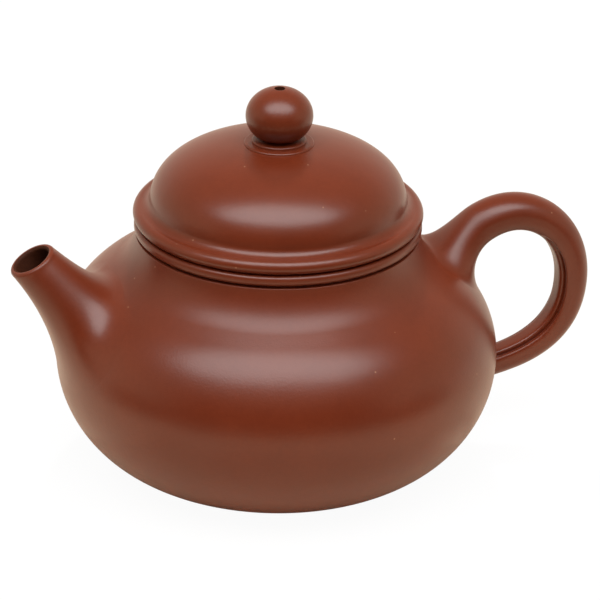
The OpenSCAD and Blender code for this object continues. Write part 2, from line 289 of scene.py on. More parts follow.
class Wiring:
    """Adds nodes to a node tree and joins them."""

    def __init__(self, tree: bpy.types.NodeTree) -> None:
        """Start from an empty tree."""
        self.tree = tree
        tree.nodes.clear()

    def node(self, kind: str, values: dict[str, object] | None = None, **settings: object) -> bpy.types.Node:
        """Add a node.

        Args:
            kind: Blender's name of the node type.
            values: Default values or sockets to join, by the name of the input socket.
            settings: Properties of the node.

        Returns:
            The new node.
        """
        node = self.tree.nodes.new(kind)
        for name, value in settings.items():
            setattr(node, name, value)
        for name, value in (values or {}).items():
            self.feed(node.inputs[name], value)
        return node

    def feed(self, target: bpy.types.NodeSocket, value: object) -> None:
        """Join a socket to an input, or set the input's own value.

        Args:
            target: The input.
            value: The socket or the value.
        """
        if isinstance(value, bpy.types.NodeSocket):
            self.tree.links.new(value, target)
        else:
            target.default_value = value

    def sums(self, operation: str, first: object, second: object = 0.0) -> bpy.types.NodeSocket:
        """Result of a Math node.

        Args:
            operation: Blender's name of the operation.
            first: First number or socket.
            second: Second number or socket.

        Returns:
            The result's socket.
        """
        node = self.node("ShaderNodeMath", operation=operation)
        self.feed(node.inputs[0], first)
        self.feed(node.inputs[1], second)
        return node.outputs[0]

    def along(self, vector: object, direction: Vector) -> bpy.types.NodeSocket:
        """Length of a vector along a direction.

        Args:
            vector: The vector's socket.
            direction: The direction, of length 1.

        Returns:
            The length's socket.
        """
        node = self.node("ShaderNodeVectorMath", operation="DOT_PRODUCT")
        self.feed(node.inputs[0], vector)
        self.feed(node.inputs[1], tuple(direction))
        return node.outputs["Value"]

    def noise(self, where: object, layer: Noise) -> bpy.types.NodeSocket:
        """Value of one layer of noise.

        Args:
            where: The coordinates' socket.
            layer: The layer's settings.

        Returns:
            The value's socket.
        """
        values = {"Vector": where, "Scale": layer.scale, "Detail": layer.detail, "Roughness": layer.rough}
        return self.node("ShaderNodeTexNoise", values).outputs["Fac"]

    def spread(
        self, value: object, low: float, high: float, to_low: object, to_high: object
    ) -> bpy.types.NodeSocket:
        """A value eased from one range to another, and held at its ends.

        Args:
            value: The number or socket to map.
            low: Start of the first range.
            high: End of the first range.
            to_low: Start of the second range.
            to_high: End of the second range.

        Returns:
            The mapped value's socket.
        """
        node = self.node("ShaderNodeMapRange", interpolation_type="SMOOTHSTEP")
        names = ("Value", "From Min", "From Max", "To Min", "To Max")
        for name, item in zip(names, (value, low, high, to_low, to_high)):
            self.feed(node.inputs[name], item)
        return node.outputs["Result"]

    def mix(self, factor: object, first: object, second: object) -> bpy.types.NodeSocket:
        """Colour between two colours.

        Args:
            factor: Share of the second colour.
            first: First colour or socket.
            second: Second colour or socket.

        Returns:
            The mixed colour's socket.
        """
        node = self.node("ShaderNodeMix", data_type="RGBA")
        for place, value in ((0, factor), (6, first), (7, second)):
            self.feed(node.inputs[place], value)
        return node.outputs[2]


@dataclass
class ClayEffects:
    """Effects of the clay that both finishes share, each a node group that reads Object coordinates.

    The grains of sand are given by their cells per metre and the share of cells that stay empty, and the
    hollow neck by the heights over which it starts and ends.
    """

    cloud: Noise = Noise(55.0, 4.0, 0.55)
    speckle: Noise = Noise(1100.0, 3.0, 0.6)
    speckle_share: float = 0.5
    mottle_span: Span = (0.5, 1.0)
    pale_sand: Span = (330.0, 0.9)
    dark_sand: Span = (420.0, 0.88)
    sand_edge: Span = (0.035, 0.085)
    pores: Noise = Noise(2400.0, 3.0, 0.6)
    waves: Noise = Noise(130.0, 1.5, 0.4)
    stroke_scale: tuple[float, float, float] = (45.0, 45.0, 900.0)
    stroke: Noise = Noise(1.0, 3.0, 0.6)
    sheen: Noise = Noise(90.0, 2.0)
    neck_start: Span = (38.0, 44.0)
    neck_end: Span = (50.0, 51.0)
    tone: bpy.types.NodeTree = field(init=False)
    grain: bpy.types.NodeTree = field(init=False)
    burnish: bpy.types.NodeTree = field(init=False)

    def __post_init__(self) -> None:
        """Build the groups once."""
        self.tone = self._tone()
        self.grain = self._grain()
        self.burnish = self._burnish()

    @staticmethod
    def _group(
        name: str, inputs: dict[str, str], output: tuple[str, str]
    ) -> tuple[Wiring, bpy.types.Node, bpy.types.Node]:
        """An empty group with named sockets.

        Args:
            name: Name of the group.
            inputs: Socket types by the names of the inputs.
            output: Name and socket type of the output.

        Returns:
            The group's wiring, its input node and its output node.
        """
        tree = bpy.data.node_groups.new(name, "ShaderNodeTree")
        for title, kind in inputs.items():
            tree.interface.new_socket(name=title, in_out="INPUT", socket_type=kind)
        tree.interface.new_socket(name=output[0], in_out="OUTPUT", socket_type=output[1])
        wiring = Wiring(tree)
        return wiring, wiring.node("NodeGroupInput"), wiring.node("NodeGroupOutput")

    def _tone(self) -> bpy.types.NodeTree:
        """Colour of the clay: cloudy tone, fine mottle, and sparse pale and dark grains of sand.

        Returns:
            The node group.
        """
        wiring, given, put = self._group(
            "clay_tone",
            {
                "Vector": "NodeSocketVector",
                "Clay": "NodeSocketColor",
                "Deep": "NodeSocketColor",
                "Sand": "NodeSocketColor",
                "Mottle": "NodeSocketFloat",
                "Sandiness": "NodeSocketFloat",
            },
            ("Color", "NodeSocketColor"),
        )
        where = given.outputs["Vector"]
        cloud = wiring.noise(where, self.cloud)
        speckle = wiring.sums("MULTIPLY", wiring.noise(where, self.speckle), self.speckle_share)
        mixed = wiring.sums("ADD", cloud, speckle)
        share = wiring.spread(mixed, *self.mottle_span, 0.0, given.outputs["Mottle"])
        colour = wiring.mix(share, given.outputs["Clay"], given.outputs["Deep"])
        for (scale, rare), tint in ((self.pale_sand, "Sand"), (self.dark_sand, "Deep")):
            cells = wiring.node("ShaderNodeTexVoronoi", {"Vector": where, "Scale": scale})
            pick = wiring.node("ShaderNodeSeparateColor", {"Color": cells.outputs["Color"]})
            chosen = wiring.sums("GREATER_THAN", pick.outputs["Red"], rare)
            dot = wiring.spread(cells.outputs["Distance"], *self.sand_edge, 1.0, 0.0)
            grain = wiring.sums("MULTIPLY", chosen, dot)
            strength = wiring.sums("MULTIPLY", grain, given.outputs["Sandiness"])
            colour = wiring.mix(strength, colour, given.outputs[tint])
        wiring.feed(put.inputs["Color"], colour)
        return wiring.tree

    def _grain(self) -> bpy.types.NodeTree:
        """Height of the clay's surface: fine grain over the slow waves that smoothing leaves.

        Returns:
            The node group.
        """
        wiring, given, put = self._group(
            "clay_grain",
            {"Vector": "NodeSocketVector", "Grain": "NodeSocketFloat", "Wave": "NodeSocketFloat"},
            ("Height", "NodeSocketFloat"),
        )
        where = given.outputs["Vector"]
        pores = wiring.sums("MULTIPLY", wiring.noise(where, self.pores), given.outputs["Grain"])
        waves = wiring.sums("MULTIPLY", wiring.noise(where, self.waves), given.outputs["Wave"])
        wiring.feed(put.inputs["Height"], wiring.sums("ADD", pores, waves))
        return wiring.tree

    def _burnish(self) -> bpy.types.NodeTree:
        """Roughness of the clay: faint level strokes of the burnishing tool, and duller in the hollow neck.

        Returns:
            The node group.
        """
        wiring, given, put = self._group(
            "clay_burnish",
            {
                "Vector": "NodeSocketVector",
                "Rough": "NodeSocketFloat",
                "Strokes": "NodeSocketFloat",
                "Hollow": "NodeSocketFloat",
            },
            ("Roughness", "NodeSocketFloat"),
        )
        where = given.outputs["Vector"]
        level = wiring.node("ShaderNodeMapping", {"Vector": where, "Scale": self.stroke_scale})
        stroke = wiring.noise(level.outputs["Vector"], self.stroke)
        both = wiring.sums("ADD", stroke, wiring.noise(where, self.sheen))
        # Each noise has a mean of a half, so the two together have a mean of 1.
        offset = wiring.sums("MULTIPLY", wiring.sums("SUBTRACT", both, 1.0), given.outputs["Strokes"])
        height = wiring.node("ShaderNodeSeparateXYZ", {"Vector": where}).outputs["Z"]
        above = wiring.spread(height, *metres(self.neck_start), 0.0, 1.0)
        below = wiring.spread(height, *metres(self.neck_end), 1.0, 0.0)
        dull = wiring.sums("MULTIPLY", wiring.sums("MINIMUM", above, below), given.outputs["Hollow"])
        rough = wiring.sums("ADD", wiring.sums("ADD", given.outputs["Rough"], offset), dull)
        wiring.feed(put.inputs["Roughness"], rough)
        return wiring.tree


@dataclass(frozen=True)
class ClayFinish:
    """One finish of the red clay."""

    name: str
    clay: Colour = (0.146, 0.0245, 0.0083, 1.0)
    deep: Colour = (0.119, 0.0188, 0.0061, 1.0)
    sand: Colour = (0.42, 0.22, 0.13, 1.0)
    mottle: float = 0.8
    sandiness: float = 0.55
    rough: float = 0.298
    hollow: float = 0.08
    strokes: float = 0.025
    grain: float = 0.35
    wave: float = 1.0
    relief: float = 0.06
    ior: float = 1.5

    def material(self, effects: ClayEffects) -> bpy.types.Material:
        """Make the finish's material.

        Args:
            effects: The shared node groups.

        Returns:
            The new material.
        """
        material = bpy.data.materials.new(self.name)
        material.use_nodes = True
        wiring = Wiring(material.node_tree)
        where = wiring.node("ShaderNodeTexCoord").outputs["Object"]

        def effect(tree: bpy.types.NodeTree, values: dict[str, object]) -> bpy.types.NodeSocket:
            """Place one shared group.

            Args:
                tree: The group.
                values: This finish's values, by the names of the group's inputs.

            Returns:
                The group's output.
            """
            node = wiring.node("ShaderNodeGroup", node_tree=tree)
            for name, value in ({"Vector": where} | values).items():
                wiring.feed(node.inputs[name], value)
            return node.outputs[0]

        colour = effect(
            effects.tone,
            {
                "Clay": self.clay,
                "Deep": self.deep,
                "Sand": self.sand,
                "Mottle": self.mottle,
                "Sandiness": self.sandiness,
            },
        )
        rough = effect(
            effects.burnish, {"Rough": self.rough, "Strokes": self.strokes, "Hollow": self.hollow}
        )
        height = effect(effects.grain, {"Grain": self.grain, "Wave": self.wave})
        relief = {"Height": height, "Strength": 1.0, "Distance": self.relief * MM}
        bump = wiring.node("ShaderNodeBump", relief)
        shader = wiring.node(
            "ShaderNodeBsdfPrincipled",
            {
                "Base Color": colour,
                "Roughness": rough,
                "Normal": bump.outputs["Normal"],
                "IOR": self.ior,
            },
        )
        wiring.node("ShaderNodeOutputMaterial", {"Surface": shader.outputs["BSDF"]})
        return material


@dataclass(frozen=True)
class Finishes:
    """The clay's two finishes, in the order of the pieces' material slots."""

    burnished: bpy.types.Material
    raw_and_shaded: bpy.types.Material

    @classmethod
    def mixed(cls) -> Finishes:
        """Make both finishes from one set of effects.

        Returns:
            The two finishes.
        """
        effects = ClayEffects()
        outside = ClayFinish("burnished_clay")
        # The unburnished inside finish is rough, and its dark colour is painted shade for the insides of
        # pot, channel, lid and vent and for the whole base disc.
        inside = ClayFinish(
            "raw_clay_painted_shade",
            clay=(0.05, 0.0125, 0.0045, 1.0),
            deep=(0.035, 0.0085, 0.003, 1.0),
            rough=0.66,
            hollow=0.0,
            ior=1.25,
            strokes=0.16,
            grain=0.8,
            relief=0.09,
        )
        return cls(outside.material(effects), inside.material(effects))


@dataclass
class Dresser:
    """Gives finished pieces their finishes and their body, and hides the nodes that they stand for."""

    finishes: Finishes
    slot: str = "clay"
    made: list[bpy.types.Object] = field(default_factory=list)

    def dress(
        self,
        piece: bpy.types.Object,
        node: str,
        body: Body,
        is_raw_and_shaded: Callable[[Vector, Vector], bool],
    ) -> None:
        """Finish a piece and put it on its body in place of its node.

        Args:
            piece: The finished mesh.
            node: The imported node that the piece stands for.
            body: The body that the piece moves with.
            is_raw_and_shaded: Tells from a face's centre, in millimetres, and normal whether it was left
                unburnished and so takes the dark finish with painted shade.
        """
        piece.data.materials.clear()
        piece.data.materials.append(self.finishes.burnished)
        piece.data.materials.append(self.finishes.raw_and_shaded)
        for face in piece.data.polygons:
            raw_and_shaded = is_raw_and_shaded(face.center / MM, face.normal)
            face.material_index = (Skin.RAW if raw_and_shaded else Skin.BURNISHED).value
        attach(piece, body.value)
        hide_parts(node)
        self.made.append(piece)
        LOG.info("%s: %d faces, for %s on %s", piece.name, len(piece.data.polygons), node, body.value)


def faces_axis(centre: Vector, normal: Vector) -> bool:
    """Whether a face of a turned piece looks towards the Z axis."""
    return centre.x * normal.x + centre.y * normal.y < -INWARD * math.hypot(centre.x, centre.y)


def faces_in_or_down(centre: Vector, normal: Vector) -> bool:
    """Whether a face of a turned piece looks towards the Z axis or down."""
    return normal.z < -DOWNWARD or faces_axis(centre, normal)


@dataclass
class BodySkin:
    """Outer skin of the body: a low circle, a shoulder circle, a slope and a hollow neck circle, about Z."""

    body_d: float = 90.0
    belly_h: float = 23.7
    foot_d: float = 49.6
    shoulder_r: float = 20.0
    neck_h: float = 50.4
    neck_d: float = 57.4
    neck_lean: float = 2.0
    neck_slope: float = 56.8
    low_r: float = field(init=False)
    low_c: Vector = field(init=False)
    shoulder_c: Vector = field(init=False)
    hollow_r: float = field(init=False)
    hollow_c: Vector = field(init=False)
    slope_n: Vector = field(init=False)
    foot_a: float = field(init=False)

    def __post_init__(self) -> None:
        """Work out the circles that the sizes give."""
        body_r = self.body_d / 2
        low_in = body_r - self.foot_d / 2
        self.low_r = (low_in**2 + self.belly_h**2) / (2 * low_in)
        self.low_c = Vector((body_r - self.low_r, self.belly_h))
        self.shoulder_c = Vector((body_r - self.shoulder_r, self.belly_h))
        lean = math.radians(self.neck_lean)
        neck_n = Vector((math.cos(lean), math.sin(lean)))
        neck_p = Vector((self.neck_d / 2, self.neck_h))
        turn = math.radians(self.neck_slope)
        self.slope_n = Vector((math.cos(turn), math.sin(turn)))
        rise = self.slope_n.dot(neck_p - self.shoulder_c) - self.shoulder_r
        self.hollow_r = rise / (1.0 - self.slope_n.dot(neck_n))
        self.hollow_c = neck_p + self.hollow_r * neck_n
        self.foot_a = math.degrees(math.atan2(-self.belly_h, self.foot_d / 2 - self.low_c.x))

    def side(self, inset: float) -> list[Point]:
        """The skin's outline from foot to neck.

        Args:
            inset: Depth below the outer side.

        Returns:
            The outline's points, as radius and height.
        """
        low = arc(tuple(self.low_c), self.low_r - inset, self.foot_a, 0.0)
        shoulder = arc(tuple(self.shoulder_c), self.shoulder_r - inset, 0.0, self.neck_slope)
        start, end = self.neck_slope + 180.0, self.neck_lean + 180.0
        return low + shoulder[1:] + arc(tuple(self.hollow_c), self.hollow_r + inset, start, end)

    @property
    def slope_low(self) -> Vector:
        """Where the shoulder circle runs into the straight slope."""
        return self.shoulder_c + self.shoulder_r * self.slope_n

    @property
    def slope_top(self) -> Vector:
        """Where the straight slope runs into the hollow neck circle."""
        return self.hollow_c - self.hollow_r * self.slope_n

    def radius(self, z: float) -> float:
        """Outer radius of the body.

        Args:
            z: Height above the table.

        Returns:
            The radius.
        """
        if z <= self.belly_h:
            return self.low_c.x + math.sqrt(self.low_r**2 - (z - self.belly_h) ** 2)
        if z <= self.slope_low.y:
            return self.shoulder_c.x + math.sqrt(self.shoulder_r**2 - (z - self.belly_h) ** 2)
        if z <= self.slope_top.y:
            return self.slope_low.x - (z - self.slope_low.y) * math.tan(math.radians(self.neck_slope))
        return self.hollow_c.x - math.sqrt(self.hollow_r**2 - (z - self.hollow_c.y) ** 2)

    def slope(self, z: float) -> Vector:
        """Outward normal of the outline.

        Args:
            z: Height above the table.

        Returns:
            The normal, as radius and height.
        """
        place = Vector((self.radius(z), z))
        if z <= self.belly_h:
            return (place - self.low_c).normalized()
        if z <= self.slope_low.y:
            return (place - self.shoulder_c).normalized()
        if z <= self.slope_top.y:
            return self.slope_n.copy()
        return (self.hollow_c - place).normalized()

    def normal(self, y: float, z: float, side: Side) -> Vector:
        """Outward normal of the skin.

        Args:
            y: Place across the body.
            z: Height above the table.
            side: Side of the body.

        Returns:
            The normal.
        """
        radius = self.radius(z)
        slope = self.slope(z)
        forward = math.sqrt(radius**2 - y * y)
        return Vector((side.value * slope.x * forward / radius, slope.x * y / radius, slope.y))

    def point(self, y: float, z: float, side: Side, lift: float) -> Vector:
        """Point at a lift above the skin, at width y and height z on one side."""
        base = Vector((side.value * math.sqrt(self.radius(z) ** 2 - y * y), y, z))
        return base + lift * self.normal(y, z, side)


@dataclass
class Root:
    """Oval on the body where a luted-on piece runs out."""

    skin: BodySkin
    side: Side
    z: float
    width: float
    height: float
    blend_low: float
    blend_top: float
    blend_side: float
    around: int
    sink: float = 0.03

    def angles(self) -> list[float]:
        """Angles of the oval's points."""
        return [2 * math.pi * i / self.around for i in range(self.around)]

    def ring(self, lift: float, share: float = 1.0) -> Ring:
        """The oval, above or below the skin.

        Args:
            lift: Height above the skin.
            share: Share of its size that the oval is shrunk to.

        Returns:
            The oval's points.
        """
        wide = share * self.width / 2
        tall = share * self.height / 2
        return [
            self.skin.point(wide * math.cos(a), self.z + tall * math.sin(a), self.side, lift)
            for a in self.angles()
        ]

    def edge(self) -> Ring:
        """The oval just under the skin, where the blend starts."""
        return self.ring(-self.sink)

    def lead(self) -> Ring:
        """Guide points of the blend, along the skin from the oval towards its centre.

        Returns:
            One guide point for each point of the oval.
        """
        centre = self.skin.point(0.0, self.z, self.side, -self.sink)
        leads = []
        for a, place in zip(self.angles(), self.edge()):
            y = self.width / 2 * math.cos(a)
            z = self.z + self.height / 2 * math.sin(a)
            normal = self.skin.normal(y, z, self.side)
            inward = centre - place
            inward = (inward - inward.dot(normal) * normal).normalized()
            middle = (self.blend_low + self.blend_top) / 2
            upright = middle + (self.blend_top - self.blend_low) / 2 * math.sin(a)
            length = self.blend_side + (upright - self.blend_side) * math.sin(a) ** 2
            leads.append(place + length * inward)
        return leads


@dataclass
class Pot:
    """The pot itself: base disc, body wall with strainer holes, and mouth collar."""

    skin: BodySkin
    body_t: float = 2.6
    foot_ring_w: float = 2.4
    foot_recess: float = 0.6
    foot_round: float = 0.45
    sole_in: float = 0.27
    base_t: float = 2.4
    base_round: float = 0.25
    slip: float = 0.08
    collar_h: float = 2.1
    collar_proud: float = 0.3
    collar_w: float = 4.3
    collar_round: float = 0.8
    groove_h: float = 0.5
    groove_w: float = 0.9
    groove_round: float = 0.12
    mouth_round: float = 0.3
    strainer_d: float = 2.0
    strainer_count: int = 6
    strainer_pitch_r: float = 3.2
    strainer_up: float = 10.7
    strainer_run: float = 10.4
    base_around: int = 160
    wall_around: int = 288

    @property
    def base_r(self) -> float:
        """Radius of the round opening inside the foot ring."""
        return self.skin.foot_d / 2 - self.foot_ring_w

    @property
    def collar_r(self) -> float:
        """Outer radius of the collar."""
        return self.skin.neck_d / 2 + self.collar_proud

    @property
    def mouth_r(self) -> float:
        """Radius of the mouth."""
        return self.collar_r - self.collar_w

    @property
    def seat_z(self) -> float:
        """Height of the collar's top, on which the lid rests."""
        return self.skin.neck_h + self.collar_h

    def build_base(self) -> bpy.types.Object:
        """Base disc, a round slab with softened edges.

        Returns:
            The base disc.
        """
        Bench.clear()
        bpy.ops.mesh.primitive_cylinder_add(
            vertices=self.base_around,
            radius=(self.base_r - self.slip) * MM,
            depth=self.base_t * MM,
            location=(0.0, 0.0, (self.foot_recess + self.base_t / 2) * MM),
        )
        piece = bpy.context.object
        piece.name = "base_slab"
        piece.data.name = piece.name
        bpy.ops.object.transform_apply(location=True, rotation=True, scale=True)
        bpy.ops.object.mode_set(mode="EDIT")
        bpy.ops.mesh.select_all(action="DESELECT")
        bpy.ops.mesh.select_face_by_sides(number=4, type="GREATER")
        bpy.ops.mesh.bevel(offset=self.base_round * MM, segments=3, affect="EDGES")
        bpy.ops.object.mode_set(mode="OBJECT")
        Bench.close(piece, TURNED_SHARP)
        return piece

    def build_wall(self) -> bpy.types.Object:
        """Body wall from foot ring to neck, drilled behind the spout and grooved under the collar.

        Returns:
            The body wall.
        """
        skin = self.skin
        foot_r = skin.foot_d / 2
        low_in_r = skin.low_r - self.body_t
        inner_foot = skin.belly_h - math.sqrt(low_in_r**2 - (self.base_r - skin.low_c.x) ** 2)
        step = skin.neck_h - self.groove_h
        bend = self.groove_round
        outer = [p for p in skin.side(0.0) if self.foot_round < p[1] < step - bend]
        lip_r = skin.radius(step - bend)
        groove = arc((lip_r - bend, step - bend), bend, 0.0, 90.0, 15.0)
        groove += [(lip_r - self.groove_w, step), (lip_r - self.groove_w, skin.neck_h)]
        inner = [p for p in skin.side(self.body_t) if p[0] > self.base_r or p[1] > skin.belly_h]
        sole = arc((foot_r - self.sole_in, self.foot_round), self.foot_round, -90.0, -30.0, 12.0)
        heel = arc((self.base_r + self.foot_round, self.foot_round), self.foot_round, 180.0, 270.0, 15.0)
        outline = sole + outer + groove + [(inner[-1][0], skin.neck_h)]
        outline += inner[::-1] + [(self.base_r, inner_foot)] + heel
        piece = Bench.turn("body_shell", outline, self.wall_around)
        places = [Vector((-skin.body_d / 2 + self.body_t, 0.0, skin.belly_h + self.strainer_up))]
        for i in range(self.strainer_count):
            turn = 2 * math.pi * i / self.strainer_count
            places.append(places[0] + self.strainer_pitch_r * Vector((0.0, math.sin(turn), math.cos(turn))))
        Bench.drill(piece, places, self.strainer_d, self.strainer_run)
        return piece

    def build_collar(self) -> bpy.types.Object:
        """Collar around the mouth.

        Returns:
            The collar.
        """
        neck = self.skin.neck_h
        edge = self.collar_r - self.collar_round
        mouth = self.mouth_r + self.mouth_round
        outline = (
            [(self.mouth_r, neck)]
            + arc((edge, neck + self.collar_round), self.collar_round, -90.0, 0.0, 10.0)
            + arc((edge, self.seat_z - self.collar_round), self.collar_round, 0.0, 90.0, 10.0)
            + arc((mouth, self.seat_z - self.mouth_round), self.mouth_round, 90.0, 180.0, 15.0)
        )
        return Bench.turn("mouth_ring", outline)

    def dress(self, dresser: Dresser) -> None:
        """Build the three pieces and finish them.

        Args:
            dresser: Takes the finished pieces.
        """
        # The whole base disc takes the unburnished finish, dark with painted shade.
        dresser.dress(self.build_base(), "base_disc", Body.POT, lambda centre, normal: True)
        dresser.dress(self.build_wall(), "body_wall", Body.POT, faces_axis)
        dresser.dress(self.build_collar(), "mouth_collar", Body.POT, faces_axis)


@dataclass
class Spout:
    """Short spout with its channel, luted over the strainer holes."""

    skin: BodySkin
    seat_z: float
    reach: float = 5.3
    drop: float = 4.25
    tip_d: float = 9.8
    tip_t: float = 1.3
    lip_tilt: float = 29.0
    lean: float = 41.0
    taper: float = 4.8
    root_up: float = 8.8
    root_h: float = 24.0
    root_w: float = 40.0
    blend_top: float = 4.6
    blend_low: float = 4.0
    blend_side: float = 11.0
    run: float = 14.0
    swell: float = 1.6
    bore_d: float = 9.6
    bore_up: float = 10.7
    seat_sink: float = 0.4
    channel_facing: float = 0.2
    around: int = 96
    outer_n: int = 64
    inner_n: int = 36
    lip_n: int = 12
    seat_n: int = 5

    @property
    def tip(self) -> Vector:
        """Centre of the lip."""
        return Vector((-(self.skin.body_d / 2 + self.reach), 0.0, self.seat_z - self.drop))

    @property
    def axis(self) -> Vector:
        """Direction of the spout at its lip."""
        lean = math.radians(self.lean)
        return Vector((-math.sin(lean), 0.0, math.cos(lean)))

    def lip_ring(
        self, radius: float, back: float, taper: float, lift: float = 0.0, swell: float = 1.0
    ) -> Ring:
        """Circle in the lip's plane.

        Args:
            radius: Radius of the circle at the lip.
            back: Distance of the circle behind the lip.
            taper: Widening behind the lip, on each side.
            lift: Distance of the circle above the lip's plane.
            swell: Share by which the circle is stretched sideways.

        Returns:
            The circle's points.
        """
        tilt = math.radians(self.lip_tilt)
        up = Vector((math.cos(tilt), 0.0, math.sin(tilt)))
        normal = Vector((-math.sin(tilt), 0.0, math.cos(tilt)))
        across = Vector((0.0, 1.0, 0.0))
        middle = self.tip - back * self.axis + lift * normal
        wide = radius + back * math.tan(math.radians(taper))
        turns = [2 * math.pi * i / self.around for i in range(self.around)]
        return [middle + wide * (swell * math.cos(a) * across + math.sin(a) * up) for a in turns]

    def root(self, z: float, width: float, height: float) -> Root:
        """Oval of the spout's root or channel on the body."""
        blends = (self.blend_low, self.blend_top, self.blend_side)
        return Root(self.skin, Side.SPOUT, z, width, height, *blends, self.around)

    def build(self) -> bpy.types.Object:
        """Loft the outside, roll it over the lip, loft the channel and close the seat.

        Returns:
            The spout.
        """
        root_z = self.skin.belly_h + self.root_up
        bore_z = self.skin.belly_h + self.bore_up
        root = self.root(root_z, self.root_w, self.root_h)
        bore = self.root(bore_z, self.bore_d, self.bore_d).ring(-self.seat_sink)
        tip_r = self.tip_d / 2
        bore_r = tip_r - self.tip_t
        outside = [
            root.edge(),
            root.lead(),
            self.lip_ring(tip_r, self.run, self.taper, swell=self.swell),
            self.lip_ring(tip_r, 0.0, 0.0),
        ]
        inside = [
            self.lip_ring(bore_r, 0.0, 0.0),
            self.lip_ring(bore_r, self.run, self.taper / 2),
            [p + self.bore_d / 2 * self.axis for p in bore],
            bore,
        ]
        half = self.tip_t / 2
        rolls = [math.pi * k / self.lip_n for k in range(1, self.lip_n)]
        lip = [
            self.lip_ring(tip_r - half + half * math.cos(b), 0.0, 0.0, half * math.sin(b)) for b in rolls
        ]
        seat = []
        for k in range(1, self.seat_n + 1):
            share = k / self.seat_n
            oval = self.root(
                bore_z + share * (root_z - bore_z),
                self.bore_d + share * (self.root_w - self.bore_d),
                self.bore_d + share * (self.root_h - self.bore_d),
            )
            seat.append(oval.ring(-self.seat_sink))
        rings = blend_rings(outside, self.outer_n) + lip + blend_rings(inside, self.inner_n) + seat
        return Bench.skin("spout_tube", rings, looped=True)

    def in_channel(self, centre: Vector, normal: Vector) -> bool:
        """Whether a face of the spout looks into its channel.

        Args:
            centre: Centre of the face.
            normal: Normal of the face.

        Returns:
            True for a face of the channel.
        """
        start = self.skin.point(0.0, self.skin.belly_h + self.bore_up, Side.SPOUT, 0.0)
        line = [start, start + self.bore_d / 2 * self.axis, self.tip - self.run * self.axis, self.tip]
        places = [bezier(line, k / self.inner_n) for k in range(self.inner_n + 1)]
        nearest = min(places, key=lambda place: (place - centre).length_squared)
        return normal.dot(nearest - centre) > self.channel_facing * (nearest - centre).length

    def dress(self, dresser: Dresser) -> None:
        """Build the spout and finish it."""
        dresser.dress(self.build(), "spout", Body.POT, self.in_channel)


